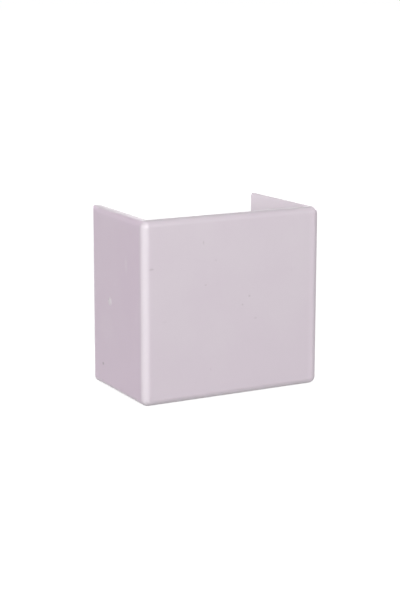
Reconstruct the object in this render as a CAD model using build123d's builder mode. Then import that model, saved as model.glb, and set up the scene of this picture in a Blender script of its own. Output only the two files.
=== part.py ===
from build123d import *
from math import cos, radians, sin, tan
import os

# Straight coupler for rectangular mini trunking: one moulded channel that clips over the joint
# between two lengths. It stands on one open end, with the trunking's run along Z, its front
# towards -Y and its open back towards +Y. The origin is the middle of the lower end.
# Sizes are in millimetres and degrees.

# The trunking it goes over
trunking_width = 40.0
trunking_depth = 25.0
side_clearance = 0.1        # to each side wall, measured at the front wall
back_reveal = 1.4           # how far the free edges stop short of the surface behind the trunking

# The moulding
length = 40.0               # along the trunking
wall = 1.75
toe_in = 1.5                # lean of each side wall towards the other, which gives the grip
corner_radius = 1.65        # outside, where the front wall turns into a side wall
inner_corner_radius = 1.0
rim_land = 0.2              # flat left on the rim of each open end, inside its rounded edge

# Grip bead inside each free edge
bead_width = 2.8
bead_height = 0.27
bead_run_out = 1.0          # length over which it fades away towards each open end

# What is left of the moulding gate: a low dome outside the left wall, at half its height
gate_diameter = 1.9
gate_height = 0.08
gate_from_edge = 8.6        # free edge to the middle of the dome

# The coupler seen along the trunking
toe = radians(toe_in)
width = trunking_width + 2 * (side_clearance + wall)
depth = wall + trunking_depth - back_reveal
front = -depth / 2
back = depth / 2
front_inside = front + wall
beyond = back + wall        # where the hollow is cut to, to leave the back open
end_radius = wall - rim_land


# Outside and inside of the right wall at the depth y
def outer_x(y):
    return width / 2 - (y - front) * tan(toe)


def inner_x(y):
    return outer_x(y) - wall / cos(toe)


with BuildPart() as bead:
    # Right wall's bead: an arc that leaves the wall gently and crests at the free edge
    bead_start = back - bead_width
    up_the_wall = Vector(sin(toe), -cos(toe), 0)
    across_the_wall = Vector(cos(toe), sin(toe), 0)
    with BuildSketch(Plane.XY):
        with BuildLine():
            TangentArc(
                (inner_x(back) - bead_height, back),
                (inner_x(bead_start), bead_start),
                tangent=up_the_wall,
            )
            Polyline(
                (inner_x(bead_start), bead_start),
                (outer_x(bead_start), bead_start),
                (outer_x(back), back),
                (inner_x(back) - bead_height, back),
            )
        make_face()
    extrude(amount=length)
    # The same kind of arc takes it down to the wall towards both ends
    with BuildSketch(Plane((inner_x(back), back, 0), x_dir=-across_the_wall, z_dir=-up_the_wall)):
        with BuildLine():
            TangentArc((bead_height, bead_run_out), (0, 0), tangent=(0, -1))
            TangentArc((bead_height, length - bead_run_out), (0, length), tangent=(0, 1))
            Line((bead_height, bead_run_out), (bead_height, length - bead_run_out))
            Polyline((0, 0), (-2 * wall, 0), (-2 * wall, length), (0, length))
        make_face()
    extrude(amount=2 * bead_width, both=True, mode=Mode.INTERSECT)

with BuildPart() as hollow:
    with BuildSketch(Plane.XY.offset(-wall)) as channel:
        with BuildLine():
            Polyline(
                (-inner_x(front_inside), front_inside),
                (inner_x(front_inside), front_inside),
                (inner_x(beyond), beyond),
                (-inner_x(beyond), beyond),
                close=True,
            )
        make_face()
        fillet(channel.vertices().group_by(Axis.Y)[0], radius=inner_corner_radius)
    extrude(amount=length + 2 * wall)
    add(bead.part, mode=Mode.SUBTRACT)
    add(mirror(bead.part, about=Plane.YZ, mode=Mode.PRIVATE), mode=Mode.SUBTRACT)

with BuildPart() as coupler:
    with BuildSketch(Plane.XY):
        with BuildLine():
            Polyline(
                (-outer_x(front), front),
                (outer_x(front), front),
                (outer_x(back), back),
                (-outer_x(back), back),
                close=True,
            )
        make_face()
    extrude(amount=length)
    upright = coupler.edges().filter_by(lambda edge: abs(edge.tangent_at(0.5).Z) > 0.5)
    fillet(upright.group_by(Axis.Y)[0], radius=corner_radius)
    # Both ends are rounded outside along the front and the sides; the free edges stay sharp
    end_edges = coupler.faces().filter_by(Axis.Z).edges()
    fillet(end_edges - end_edges.group_by(Axis.Y)[-1], radius=end_radius)
    add(hollow.part, mode=Mode.SUBTRACT)

    # Gate mark
    gate_y = back - gate_from_edge
    gate_place = Vector(-outer_x(gate_y), gate_y, length / 2)
    outward = Vector(-cos(toe), sin(toe), 0)
    with BuildSketch(Plane(gate_place, x_dir=outward, z_dir=outward.cross(Vector(0, 0, 1)))):
        with BuildLine():
            TangentArc((gate_height, 0), (0, gate_diameter / 2), tangent=(0, 1))
            Polyline((0, gate_diameter / 2), (-wall / 2, gate_diameter / 2), (-wall / 2, 0), (gate_height, 0))
        make_face()
    revolve(axis=Axis(gate_place, outward))

coupler.part.label = "coupler"
os.makedirs("parts", exist_ok=True)
export_step(coupler.part, "parts/coupler.step")
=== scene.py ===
import math

import bmesh
import bpy
from mathutils import Matrix, Vector


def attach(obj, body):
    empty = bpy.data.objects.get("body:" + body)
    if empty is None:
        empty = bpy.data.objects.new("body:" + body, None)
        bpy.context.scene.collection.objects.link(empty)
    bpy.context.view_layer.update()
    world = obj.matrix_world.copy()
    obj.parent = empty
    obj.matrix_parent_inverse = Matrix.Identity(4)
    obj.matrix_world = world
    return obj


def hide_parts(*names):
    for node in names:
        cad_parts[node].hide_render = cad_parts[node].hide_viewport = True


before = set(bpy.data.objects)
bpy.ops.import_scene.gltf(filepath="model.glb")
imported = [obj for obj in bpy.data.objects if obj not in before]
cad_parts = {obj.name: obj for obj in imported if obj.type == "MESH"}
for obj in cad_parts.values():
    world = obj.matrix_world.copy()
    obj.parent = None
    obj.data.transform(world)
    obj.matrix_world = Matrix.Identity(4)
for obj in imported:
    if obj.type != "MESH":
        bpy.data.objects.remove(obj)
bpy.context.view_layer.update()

# A clip-over straight coupler for mini trunking, standing on one open end.
# Lengths in the dictionaries are in millimetres and angles in degrees; the scene is in metres.

mm = 0.001


def addObject(name, data):
    made = bpy.data.objects.new(name, data)
    bpy.context.scene.collection.objects.link(made)
    return made


def addMesh(name, form):
    mesh = bpy.data.meshes.new(name)
    form.to_mesh(mesh)
    form.free()
    return addObject(name, mesh)


def spread(start, end, count):
    # Evenly spaced values, with both ends among them
    return [start + (end - start) * i / (count - 1) for i in range(count)]


coupler = {
    "width": 43.7,
    "depth": 25.35,
    "length": 40.0,
    "wall": 1.75,
    "toeIn": 1.5,
    "cornerRadius": 1.65,
    "insideRadius": 1.0,
    "endRadius": 1.55,
    "upperRadiusAtEdge": 0.3,   # on the left it tightens up towards the free edge
    "lowerRadiusAtEdge": 1.3,
    "endRadiusFade": 2.6,       # over this distance
    "beadWidth": 2.8,
    "beadHeight": 0.27,
    "beadRunOut": 1.0,
    "gateDiameter": 1.9,
    "gateHeight": 0.08,
    "gateFromEdge": 8.6,
    "rimSoftness": 0.07,        # radius of the rim's inner edge
    "edgeSoftness": 0.1,        # radius round the free edges
}

# How finely the mesh of the coupler is divided
fineness = {
    "alongFront": 26,
    "roundCorner": 17,
    "roundEnds": 15,
    "roundSoftEdges": 5,
    "upInside": 44,
    "nearEnds": (0.25, 0.5, 0.75),  # from both ends, more heights inside where the bead runs out
    "wallStart": 3.0,           # behind the front
    "step": 0.9,
    "gateStep": 0.11,
    "gateReach": 0.62,          # of the gate's diameter, to each side of its middle
    "clearOfGate": 0.3,         # of a step
}


class CouplerShape:
    # The coupler as a wall that runs round a U. Across the wall a closed line goes up the outside,
    # over the upper rim, down the inside and back under the lower rim.

    def __init__(self, c):
        self.c = c
        self.toe = math.radians(c["toeIn"])
        self.front = -c["depth"] / 2
        self.back = c["depth"] / 2
        self.gateY = self.back - c["gateFromEdge"]
        self.corner = self.cornerCentre(0, c["cornerRadius"])
        self.insideCorner = self.cornerCentre(c["wall"], c["insideRadius"])

    def wallX(self, y, inset):
        # Right wall at depth y, a distance inset in from its outside
        lean = (y - self.front) * math.tan(self.toe)
        return self.c["width"] / 2 - lean - inset / math.cos(self.toe)

    def cornerCentre(self, inset, radius):
        y = self.front + inset + radius
        return Vector((self.wallX(y, inset + radius), y))

    def stepsPastGate(self, start, end, gate):
        # Even steps, with finer ones over the gate mark and no even step right beside those
        f = fineness
        reach = f["gateReach"] * self.c["gateDiameter"]
        clear = reach + f["clearOfGate"] * f["step"]
        even = spread(start, end, round((end - start) / f["step"]) + 1)
        fine = spread(gate - reach, gate + reach, round(2 * reach / f["gateStep"]) + 1)
        return sorted([s for s in even if abs(s - gate) > clear] + fine)

    def stations(self):
        # Places along the U from the middle of the front to the right free edge
        f = fineness
        start, end = self.front + f["wallStart"], self.back - self.c["edgeSoftness"]
        places = [("front", s) for s in spread(0, 1, f["alongFront"])]
        places += [("corner", s) for s in spread(0, 1, f["roundCorner"])[1:]]
        places += [("wall", y) for y in self.stepsPastGate(start, end, self.gateY)]
        places += [("edge", math.radians(a)) for a in spread(0, 90, f["roundSoftEdges"])[1:]]
        return places

    def levels(self):
        # The closed line across the wall, as rows of part, place and turn. The place is a share of the
        # straight height outside, an inset and a height on the rims, and a height inside. The turn is
        # how far the surface has turned from facing outwards, by way of up, inwards and down.
        c, f = self.c, fineness
        r, soft, length = c["endRadius"], c["rimSoftness"], c["length"]

        def rimRows(middle, start, end):
            turns = [math.radians(a) for a in spread(start, end, f["roundSoftEdges"])]
            return [("rim", (soft + soft * math.cos(t), middle + soft * math.sin(t)), t) for t in turns]

        inside = spread(soft, length - soft, f["upInside"])[1:-1]
        inside += [z for end in f["nearEnds"] for z in (end, length - end)]
        rows = [
            ("outside", (z - r) / (length - 2 * r), 0)
            for z in self.stepsPastGate(r, length - r, length / 2)
        ]
        rows += [("outside", 1, math.radians(a)) for a in spread(0, 90, f["roundEnds"])[1:]]
        rows += rimRows(length - soft, 90, 180)
        rows += [("inside", z, math.pi) for z in sorted(inside, reverse=True)]
        rows += rimRows(soft, 180, 270)
        rows += [("outside", 0, math.radians(a)) for a in spread(270, 360, f["roundEnds"])[:-1]]
        return rows

    def endRadiusAt(self, side, kind, s, radiusAtEdge):
        c = self.c
        if side > 0 or kind in ("front", "corner"):
            return c["endRadius"]
        y = s if kind == "wall" else self.back
        near = max(0, 1 - (self.back - y) / c["endRadiusFade"])
        return c["endRadius"] + (radiusAtEdge - c["endRadius"]) * near**2

    def beadRise(self, y, z):
        # How far the grip bead stands in from the wall
        c = self.c
        along = max(0, (y - self.back) / c["beadWidth"] + 1)
        fromEnd = min(z, c["length"] - z, c["beadRunOut"]) / c["beadRunOut"]
        return c["beadHeight"] * min(along**2, 1 - (1 - fromEnd) ** 2)

    def gateRise(self, y, z):
        # Low dome
        c = self.c
        away = math.hypot(y - self.gateY, z - c["length"] / 2) / (c["gateDiameter"] / 2)
        return c["gateHeight"] * max(0, 1 - away**2)

    def roundTheCorner(self, centre, radius, share):
        turn = -math.pi / 2 + share * (math.pi / 2 + self.toe)
        return centre + radius * Vector((math.cos(turn), math.sin(turn)))

    def outsidePoint(self, kind, s, inset):
        if kind == "front":
            return Vector((s * self.corner.x, self.front + inset))
        if kind == "corner":
            return self.roundTheCorner(self.corner, self.c["cornerRadius"] - inset, s)
        return Vector((self.wallX(s, inset), s))

    def insidePoint(self, kind, s):
        c = self.c
        if kind == "front":
            return Vector((s * self.insideCorner.x, self.front + c["wall"]))
        if kind == "corner":
            return self.roundTheCorner(self.insideCorner, c["insideRadius"], s)
        return Vector((self.wallX(s, c["wall"]), s))

    def edgePoint(self, turnBack, part, turn, inset, z):
        # The free edge is rounded: the whole line across the wall shrinks as it nears the back
        c = self.c
        soft = c["edgeSoftness"]
        shrink = soft * (1 - math.cos(turnBack))
        y = self.back - soft * (1 - math.sin(turnBack))
        if part == "inside":
            inset = c["wall"] + self.beadRise(y, z)
        elif part == "rim":
            inset = c["wall"] - inset
        x = self.wallX(y, inset + shrink * math.cos(turn))
        return Vector((x, y, z - shrink * math.sin(turn)))

    def insetAndHeight(self, side, kind, s, level):
        part, at, turn = level
        if part == "rim":
            return at
        if part == "inside":
            return 0, at
        c = self.c
        lower = self.endRadiusAt(side, kind, s, c["lowerRadiusAtEdge"])
        upper = self.endRadiusAt(side, kind, s, c["upperRadiusAtEdge"])
        r = upper if turn < math.pi else lower
        straight = c["length"] - upper - lower
        return r * (1 - math.cos(turn)), lower + at * straight + r * math.sin(turn)

    def point(self, side, kind, s, level):
        part, _, turn = level
        inset, z = self.insetAndHeight(side, kind, s, level)
        if kind == "edge":
            return self.edgePoint(s, part, turn, inset, z)
        if part == "outside":
            flat = self.outsidePoint(kind, s, inset)
            if side < 0 and kind == "wall" and turn == 0:
                flat.x += self.gateRise(s, z)
            return Vector((flat.x, flat.y, z))
        flat = self.insidePoint(kind, s)
        if part == "rim":
            outwards = (self.outsidePoint(kind, s, self.c["endRadius"]) - flat).normalized()
            flat = flat + outwards * inset
        elif kind == "wall":
            flat.x -= self.beadRise(s, z)
        return Vector((flat.x, flat.y, z))

    def build(self):
        half = self.stations()
        stations = [(-1, kind, s) for kind, s in reversed(half)] + [(1, kind, s) for kind, s in half[1:]]
        levels = self.levels()
        form = bmesh.new()
        columns = []
        for side, kind, s in stations:
            points = [self.point(side, kind, s, level) for level in levels]
            columns.append([form.verts.new((side * p.x * mm, p.y * mm, p.z * mm)) for p in points])
        for a, b in zip(columns, columns[1:]):
            for i in range(len(levels)):
                j = (i + 1) % len(levels)
                form.faces.new((a[i], b[i], b[j], a[j]))
        form.faces.new(columns[0])
        form.faces.new(list(reversed(columns[-1])))
        bmesh.ops.recalc_face_normals(form, faces=form.faces)
        for face in form.faces:
            face.smooth = True
        return addMesh("couplerMoulding", form)


class Sock:
    # A shader socket that can be used in sums

    def __init__(self, graph, socket):
        self.graph = graph
        self.socket = socket

    def maths(self, operation, a, b):
        return self.graph.node("ShaderNodeMath", {"operation": operation}, {0: a, 1: b})

    def __add__(self, other):
        return self.maths("ADD", self, other)

    def __radd__(self, other):
        return self.maths("ADD", other, self)

    def __sub__(self, other):
        return self.maths("SUBTRACT", self, other)

    def __rsub__(self, other):
        return self.maths("SUBTRACT", other, self)

    def __mul__(self, other):
        return self.maths("MULTIPLY", self, other)

    def __rmul__(self, other):
        return self.maths("MULTIPLY", other, self)

    def larger(self, other):
        return self.maths("MAXIMUM", self, other)

    def also(self, name):
        # Another output of the same node
        return Sock(self.graph, self.socket.node.outputs[name])


class Graph:
    # Adds nodes to a node tree: type, settings and then the values or links of the sockets

    def __init__(self, tree):
        self.tree = tree
        tree.nodes.clear()

    def node(self, kind, settings=None, inputs=None, output=0):
        made = self.tree.nodes.new(kind)
        for name, value in (settings or {}).items():
            setattr(made, name, value)
        for name, value in (inputs or {}).items():
            if isinstance(value, Sock):
                self.tree.links.new(value.socket, made.inputs[name])
            else:
                made.inputs[name].default_value = value
        return Sock(self, made.outputs[output]) if made.outputs else made

    def vector(self, operation, a, b):
        return self.node("ShaderNodeVectorMath", {"operation": operation}, {0: a, 1: b})

    def distance(self, a):
        return self.node("ShaderNodeVectorMath", {"operation": "LENGTH"}, {0: a}, "Value")

    def mixColour(self, factor, a, b):
        # A Mix node's colours are its sockets 6 and 7, and its output 2
        settings = {"data_type": "RGBA", "blend_type": "MIX"}
        return self.node("ShaderNodeMix", settings, {0: factor, 6: a, 7: b}, output=2)

    def noise(self, place, look):
        return self.node("ShaderNodeTexNoise", {}, {
            "Vector": place,
            "Scale": 1 / look["size"],
            "Detail": look["detail"],
            "Roughness": look["roughness"],
        })

    def fade(self, value, start, end):
        # 1 up to the start, 0 from the end on
        settings = {"interpolation_type": "SMOOTHSTEP"}
        inputs = {"Value": value, "From Min": start, "From Max": end, "To Min": 1, "To Max": 0}
        return self.node("ShaderNodeMapRange", settings, inputs)

    def spot(self, place, centre, half, core=0.3):
        # 1 in the core of an ellipsoid, 0 outside it
        offset = self.vector("SUBTRACT", place, centre)
        scaled = self.vector("MULTIPLY", offset, [1 / h for h in half])
        return self.fade(self.distance(scaled), core, 1)


# A fade says from and to where, in millimetres: across the part, behind its front, above the
# lower end or below the upper one. An amount is how much a noise or a mark counts.
plastic = {
    "colour": (0.71, 0.64, 0.695, 1),
    "cloudColour": (0.692, 0.614, 0.678, 1),    # slightly more lilac, in soft clouds
    "cloudShare": 0.4,                          # of that colour at the middle of the noise
    "cloud": {"size": 12.0, "detail": 2, "roughness": 0.45, "amount": 2.2},
    "fine": {"size": 1.6, "detail": 3, "roughness": 0.6, "amount": 0.5},
    # More lilac towards the lower end: start and end of the fade above it, amount
    "lowDown": [(2, 13, 0.432), (10, 34, 0.288)],
    # Soft patches on the left side, more lilac or, below 0, paler: y, z, half depth, half height, amount
    "sidePatches": [
        (-5.6, 24.0, 5.5, 7.5, 1.4),
        (6.8, 14.0, 6.0, 5.5, -1.0),
        (2.0, 4.0, 9.0, 4.0, 0.8),
    ],
    "patchReach": 1.6,                          # across, so that they stay on that side
    "patchCore": 0.1,
    # The left side is tinted more lilac again: a painted colour of the light that falls on that side
    "leftSideLightTint": {"tint": (1.072, 0.996, 1.064), "across": (-21.1, -20.4), "behind": (0.6, 2.2)},
    # Painted shade along the upper rim of the front, and a lower rim painted paler, partly as rubbed
    # plastic and partly as painted light
    "upperRimPaintedShade": {"below": (0.1, 0.45), "behind": (1.6, 2.2), "amount": 0.10},
    "lowerRimRubAndLight": {"above": (0.3, 1.3), "amount": 0.50},
    # Painted highlights on the corners of the front: which side, how far round it, how much, colour
    "cornerHighlights": [
        (-1, 1.8, 0.75, (0.735, 0.675, 0.722, 1)),
        (1, 3.2, 0.80, (0.752, 0.665, 0.735, 1)),
    ],
    "cornerHighlightCore": 0.45,
    "cornerHighlightEvenly": 0.7,                          # the rest of it follows the fine noise
    "cornerHighlightUnevenly": 0.6,
    # also the dark of the painted shade along the upper rim
    "speckAndShadeColour": (0.30, 0.25, 0.27, 1),
    # also the pale of the painted light on the lower rim
    "scuffAndLightColour": (0.92, 0.87, 0.90, 1),
    # Dark specks in the front: x, z, half width, half height, strength
    "frontSpecks": [
        (-7.45, 34.39, 0.30, 0.56, 0.19),
        (-4.46, 30.39, 0.34, 0.32, 0.09),
        (-19.93, 29.72, 0.82, 0.32, 0.25),
        (-6.95, 25.20, 0.40, 0.28, 0.20),
        (3.93, 21.81, 0.38, 0.32, 0.26),
        (2.19, 20.02, 0.34, 0.30, 0.22),
        (5.51, 16.76, 0.58, 0.30, 0.15),
        (-5.68, 6.54, 0.24, 0.44, 0.09),
        (-16.85, 18.17, 0.80, 0.34, 0.05),
        (14.57, 26.56, 0.26, 0.60, 0.05),
    ],
    # Dark specks in the left side: y, z, half width, half height, strength
    "sideSpecks": [
        (8.10, 5.18, 0.70, 0.46, 0.46),
    ],
    "speckDepth": 0.8,
    "speckRelief": -0.004,
    "ragged": {"size": 1 / 3.5, "detail": 1, "roughness": 0.5, "amount": 0.35},     # outlines
    # Elsewhere, behind the front and to the right of the left side, specks lie about at random
    "looseSpecks": {
        "spacing": 7.0,
        "radius": 0.24,
        "core": 0.3,                            # of the radius
        "chance": (0.45, 0.75),                 # which places have none and which a full one
        "behind": (0.5, 1.0),
        "across": (-21.0, -20.4),
        "strength": 0.14,
    },
    # Where the gate was broken off, torn white in places
    "gate": {"half": (1.0, 1.15, 1.15), "core": 0.5, "roughness": 0.25, "relief": 0.02},
    "torn": {"size": 0.8, "detail": 3, "roughness": 0.7, "amount": 1.9, "less": 0.25},
    # A rub mark above it
    "rub": {"place": (-21.5, -4.25, 29.5), "half": (1.0, 1.1, 2.6), "core": 0.1, "amount": 0.36},
    "ior": 1.45,
    "roughness": 0.33,
    # The inside is duller: sideways from the middle, behind the front, how much
    "inside": {"aside": (20.3, 20.9), "behind": (0.6, 1.2), "roughness": 0.12},
    "haze": {"size": 5.0, "detail": 3, "roughness": 0.6, "amount": 0.10},
    "scratches": {"size": 0.25, "detail": 2, "roughness": 0.6, "amount": 0.06, "relief": 0.0004},
    "scratchSqueeze": (1, 1, 0.06),             # of the noise's place, which draws them out up and down
    "wave": {"size": 13.0, "detail": 1, "roughness": 0.5, "relief": 0.010},
    "grain": {"size": 0.22, "detail": 2, "roughness": 0.6, "relief": 0.0004},
}


class Places:
    # Where a point of the coupler lies, in millimetres

    def __init__(self, g, shape):
        metres = g.node("ShaderNodeTexCoord", {}, {}, "Object")
        self.point = g.vector("MULTIPLY", metres, [1 / mm] * 3)
        self.across = g.node("ShaderNodeSeparateXYZ", {}, {0: self.point})
        self.aside = self.across.larger(0 - self.across)
        self.behind = self.across.also("Y") - shape.front
        self.above = self.across.also("Z")
        self.below = shape.c["length"] - self.above


def cloudedColour(g, shape, at, fine):
    look = plastic
    cloud = g.noise(at.point, look["cloud"])
    cloudy = look["cloudShare"] + look["cloud"]["amount"] * (cloud - 0.5)
    cloudy = cloudy + look["fine"]["amount"] * (fine - 0.5)
    for start, end, amount in look["lowDown"]:
        cloudy = cloudy + amount * g.fade(at.above, start, end)
    leftX = -shape.wallX(0, 0)
    for y, z, depth, tall, amount in look["sidePatches"]:
        half = (look["patchReach"], depth, tall)
        cloudy = cloudy + amount * g.spot(at.point, (leftX, y, z), half, look["patchCore"])
    colour = g.mixColour(cloudy, look["colour"], look["cloudColour"])

    # Painted light colour: the left side is tinted more lilac
    left = look["leftSideLightTint"]
    lightTinted = g.vector("MULTIPLY", colour, left["tint"])
    share = g.fade(at.across, *left["across"]) * (1 - g.fade(at.behind, *left["behind"]))
    return g.mixColour(share, colour, lightTinted)


def paintedLightAndRubColour(g, shape, at, fine, colour):
    # Painted shade on the upper rim, a paler lower rim that is partly rubbed and partly painted light,
    # and painted highlights on the corners where the front turns into the sides
    look = plastic
    upper, lower = look["upperRimPaintedShade"], look["lowerRimRubAndLight"]
    # Painted shade along the upper rim of the front
    rimShadeMask = g.fade(at.below, *upper["below"]) * g.fade(at.behind, *upper["behind"])
    colour = g.mixColour(upper["amount"] * rimShadeMask, colour, look["speckAndShadeColour"])
    # Lower rim painted paler: partly rubbed plastic, partly painted light
    rubbed = g.fade(at.above, *lower["above"])
    colour = g.mixColour(lower["amount"] * rubbed, colour, look["scuffAndLightColour"])

    width, length = shape.c["width"], shape.c["length"]
    wholeLength = 25 * length       # so long that the mark doesn't fade along the corner
    uneven = look["cornerHighlightEvenly"] + look["cornerHighlightUnevenly"] * fine
    # Painted highlights on the corners of the front
    for side, reach, amount, highlightColour in look["cornerHighlights"]:
        corner = (side * width / 2, shape.front, length / 2)
        cornerGlint = g.spot(at.point, corner, (reach, reach, wholeLength), look["cornerHighlightCore"])
        colour = g.mixColour(amount * cornerGlint * uneven, colour, highlightColour)
    return colour


def speckMask(g, shape, at):
    look = plastic
    ragged = g.noise(at.point, look["ragged"]).also("Color")
    jitter = g.vector("SUBTRACT", ragged, (0.5, 0.5, 0.5))
    jitter = g.vector("MULTIPLY", jitter, [look["ragged"]["amount"]] * 3)
    place = g.vector("ADD", at.point, jitter)
    depth = look["speckDepth"]
    specks = 0
    for x, z, w, h, strength in look["frontSpecks"]:
        specks = specks + strength * g.spot(place, (x, shape.front, z), (w, depth, h))
    for y, z, w, h, strength in look["sideSpecks"]:
        specks = specks + strength * g.spot(place, (-shape.wallX(y, 0), y, z), (depth, w, h))

    loose = look["looseSpecks"]
    spacing, radius = loose["spacing"], loose["radius"]
    cells = g.node("ShaderNodeTexVoronoi", {}, {"Vector": place, "Scale": 1 / spacing})
    near = g.fade(cells * spacing, loose["core"] * radius, radius)
    chance = g.node("ShaderNodeSeparateColor", {}, {0: cells.also("Color")})
    here = 1 - g.fade(chance, *loose["chance"])
    elsewhere = (1 - g.fade(at.behind, *loose["behind"])) * (1 - g.fade(at.across, *loose["across"]))
    return specks + loose["strength"] * (near * here * elsewhere)


def gateMask(g, shape, at):
    place = (-shape.wallX(shape.gateY, 0), shape.gateY, shape.c["length"] / 2)
    return g.spot(at.point, place, plastic["gate"]["half"], plastic["gate"]["core"])


def scuffMask(g, at, gate, torn):
    whiten, rub = plastic["torn"], plastic["rub"]
    rubbed = g.spot(at.point, rub["place"], rub["half"], rub["core"])
    return gate * (whiten["amount"] * torn - whiten["less"]) + rub["amount"] * rubbed * torn


def roughnessOf(g, at, gate, scratches):
    # Cloudy at the size of a thumb print, duller inside and where the gate was
    look = plastic
    haze = g.noise(at.point, look["haze"])
    inside = g.fade(at.aside, *look["inside"]["aside"])
    inside = inside * (1 - g.fade(at.behind, *look["inside"]["behind"]))
    return (
        look["roughness"]
        + look["haze"]["amount"] * (haze - 0.5)
        + look["scratches"]["amount"] * (scratches - 0.5)
        + look["gate"]["roughness"] * gate
        + look["inside"]["roughness"] * inside
    )


def reliefOf(g, at, gate, torn, scratches, specks):
    # Height in millimetres
    look = plastic
    return (
        look["wave"]["relief"] * g.noise(at.point, look["wave"])
        + look["grain"]["relief"] * g.noise(at.point, look["grain"])
        + look["scratches"]["relief"] * scratches
        + look["gate"]["relief"] * gate * torn
        + look["speckRelief"] * specks
    )


def makePlastic(shape):
    look = plastic
    material = bpy.data.materials.new("paleLilacPlastic")
    material.use_nodes = True
    g = Graph(material.node_tree)
    at = Places(g, shape)
    fine = g.noise(at.point, look["fine"])
    torn = g.noise(at.point, look["torn"])
    scratches = g.noise(g.vector("MULTIPLY", at.point, look["scratchSqueeze"]), look["scratches"])
    specks = speckMask(g, shape, at)
    gate = gateMask(g, shape, at)

    colour = cloudedColour(g, shape, at, fine)
    colour = paintedLightAndRubColour(g, shape, at, fine, colour)
    colour = g.mixColour(specks, colour, look["speckAndShadeColour"])
    colour = g.mixColour(scuffMask(g, at, gate, torn), colour, look["scuffAndLightColour"])
    relief = reliefOf(g, at, gate, torn, scratches, specks)
    bump = g.node("ShaderNodeBump", {}, {"Strength": 1.0, "Distance": mm, "Height": relief})
    surface = g.node("ShaderNodeBsdfPrincipled", {}, {
        "Base Color": colour,
        "Roughness": roughnessOf(g, at, gate, scratches),
        "IOR": look["ior"],
        "Normal": bump,
    })
    g.node("ShaderNodeOutputMaterial", {}, {"Surface": surface})
    return material


print("making the coupler")
shape = CouplerShape(coupler)
moulding = shape.build()
moulding.data.materials.append(makePlastic(shape))
moulding.modifiers.new("evenShading", "WEIGHTED_NORMAL")
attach(moulding, "root")
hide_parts("coupler")


def direction(azimuth, elevation):
    # From the coupler outwards; azimuth 0 is straight in front of it
    a, e = math.radians(azimuth), math.radians(elevation)
    return Vector((math.sin(a) * math.cos(e), -math.cos(a) * math.cos(e), math.sin(e)))


camera = {
    "azimuth": -29.017,      # seen from the front left
    "elevation": 11.959,
    "roll": 0.089,
    "distance": 357.80,      # from the foot of the front, along the view
    "across": -7.234,        # and from there across and up the view
    "up": 20.805,
    "lens": 98.48,
    "sensor": 36,
    "nearest": 10,
    "furthest": 100000,
}


def placeCamera():
    away = direction(camera["azimuth"], camera["elevation"])
    roll = math.radians(camera["roll"])
    right = Vector((0, 0, 1)).cross(away).normalized()
    up = away.cross(right)
    rolledRight = right * math.cos(roll) + up * math.sin(roll)
    rolledUp = up * math.cos(roll) - right * math.sin(roll)
    place = rolledRight * camera["across"] + rolledUp * camera["up"] + away * camera["distance"]
    place.y += shape.front
    data = bpy.data.cameras.new("camera")
    data.lens = camera["lens"]
    data.sensor_width = camera["sensor"]
    data.clip_start = camera["nearest"] * mm
    data.clip_end = camera["furthest"] * mm
    made = addObject("camera", data)
    turn = Matrix((rolledRight, rolledUp, away)).transposed().to_4x4()
    made.matrix_world = Matrix.Translation(place * mm) @ turn
    bpy.context.scene.camera = made


print("placing the camera")
placeCamera()

studio = {
    "floorColour": (0.31, 0.31, 0.31, 1),
    "floorReach": 15000,     # from the middle to each side
    "glowNear": 0.87,        # of the floor to the eye, round the coupler
    "glowFar": 1.0,          # and from here on it runs into the white backdrop
    "glowFrom": 100,
    "glowTo": 600,
    "fill": 0.0,             # light from all round
    "power": 0.984,          # of all the lamps
}

# Soft boxes: where from, how far, how large and how bright
lamps = {
    "leftLow": {"azimuth": -78, "elevation": 10, "distance": 1000, "size": 300, "brightness": 11.4},
    "left": {"azimuth": -55, "elevation": 10, "distance": 1500, "size": 450, "brightness": 3.5},
    "middle": {"azimuth": -35, "elevation": 26, "distance": 1500, "size": 450, "brightness": 4.3},
    "frontLow": {"azimuth": -15, "elevation": 9, "distance": 1500, "size": 450, "brightness": 6.8},
    "front": {"azimuth": -15, "elevation": 26, "distance": 800, "size": 240, "brightness": 12.6},
    "frontHigh": {"azimuth": -15, "elevation": 45, "distance": 800, "size": 240, "brightness": 5.2},
    "top": {"azimuth": 120, "elevation": 62, "distance": 1500, "size": 800, "brightness": 0.6},
    "right": {"azimuth": 118, "elevation": 14, "distance": 1500, "size": 450, "brightness": 9.0},
    "rightBack": {"azimuth": 135, "elevation": 10, "distance": 1500, "size": 500, "brightness": 6.3},
    "backLow": {"azimuth": 157, "elevation": 10, "distance": 1500, "size": 500, "brightness": 3.0},
    "backHigh": {"azimuth": 165, "elevation": 32, "distance": 1500, "size": 500, "brightness": 2.4},
}

# A small panel that looks in through the open back
insideLamp = {"place": (-6, 50, 22), "aim": (19, 4, 26), "size": 30, "brightness": 2.35}


def seenByEye(g):
    # 1 for what the camera sees, straight, mirrored or through something, and 0 for light
    ray = g.node("ShaderNodeLightPath", {}, {}, "Is Camera Ray")
    return ray.larger(ray.also("Is Glossy Ray")).larger(ray.also("Is Transmission Ray"))


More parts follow.
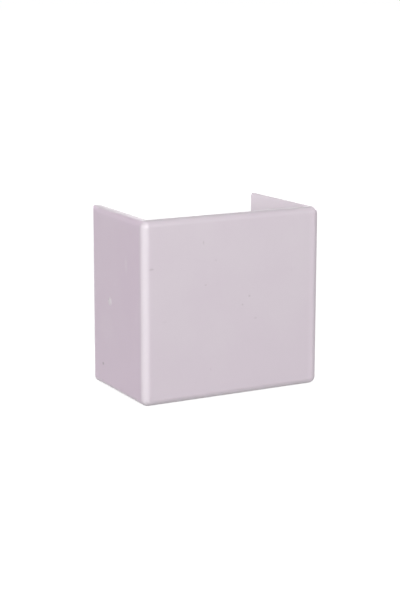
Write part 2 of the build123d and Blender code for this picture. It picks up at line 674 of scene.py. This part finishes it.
def makeFloor():
    grid = bmesh.new()
    bmesh.ops.create_grid(grid, x_segments=8, y_segments=8, size=studio["floorReach"] * mm)
    made = addMesh("floor", grid)
    material = bpy.data.materials.new("paleFloor")
    material.use_nodes = True
    g = Graph(material.node_tree)
    matt = g.node("ShaderNodeBsdfDiffuse", {}, {"Color": studio["floorColour"]})
    away = g.distance(g.node("ShaderNodeTexCoord", {}, {}, "Object"))
    far = 1 - g.fade(away, studio["glowFrom"] * mm, studio["glowTo"] * mm)
    glow = studio["glowNear"] + (studio["glowFar"] - studio["glowNear"]) * far
    light = g.node("ShaderNodeEmission", {}, {"Strength": glow * seenByEye(g)})
    both = g.node("ShaderNodeAddShader", {}, {0: matt, 1: light})
    g.node("ShaderNodeOutputMaterial", {}, {"Surface": both})
    made.data.materials.append(material)


def makeWorld():
    world = bpy.data.worlds.new("studio")
    world.use_nodes = True
    bpy.context.scene.world = world
    g = Graph(world.node_tree)
    light = g.node("ShaderNodeBackground", {}, {"Color": (1, 1, 1, 1), "Strength": studio["fill"]})
    white = g.node("ShaderNodeBackground", {}, {"Color": (1, 1, 1, 1), "Strength": 1})
    shown = g.node("ShaderNodeMixShader", {}, {0: seenByEye(g), 1: light, 2: white})
    g.node("ShaderNodeOutputWorld", {}, {"Surface": shown})


def makeLamp(name, lamp, place, away):
    size = lamp["size"] * mm
    data = bpy.data.lights.new(name, "AREA")
    data.shape = "SQUARE"
    data.size = size
    data.energy = studio["power"] * lamp["brightness"] * math.pi * size**2      # in watts
    made = addObject(name, data)
    made.location = place
    made.rotation_euler = away.to_track_quat("Z", "Y").to_euler()
    made.visible_camera = False


def makeLamps():
    middle = Vector((0, 0, coupler["length"] / 2 * mm))
    for name, lamp in lamps.items():
        away = direction(lamp["azimuth"], lamp["elevation"])
        makeLamp(name, lamp, middle + away * (lamp["distance"] * mm), away)
    place, aim = Vector(insideLamp["place"]) * mm, Vector(insideLamp["aim"]) * mm
    makeLamp("inside", insideLamp, place, place - aim)


print("floor and light")
makeFloor()
makeWorld()
makeLamps()
bpy.context.scene.view_settings.view_transform = "Standard"
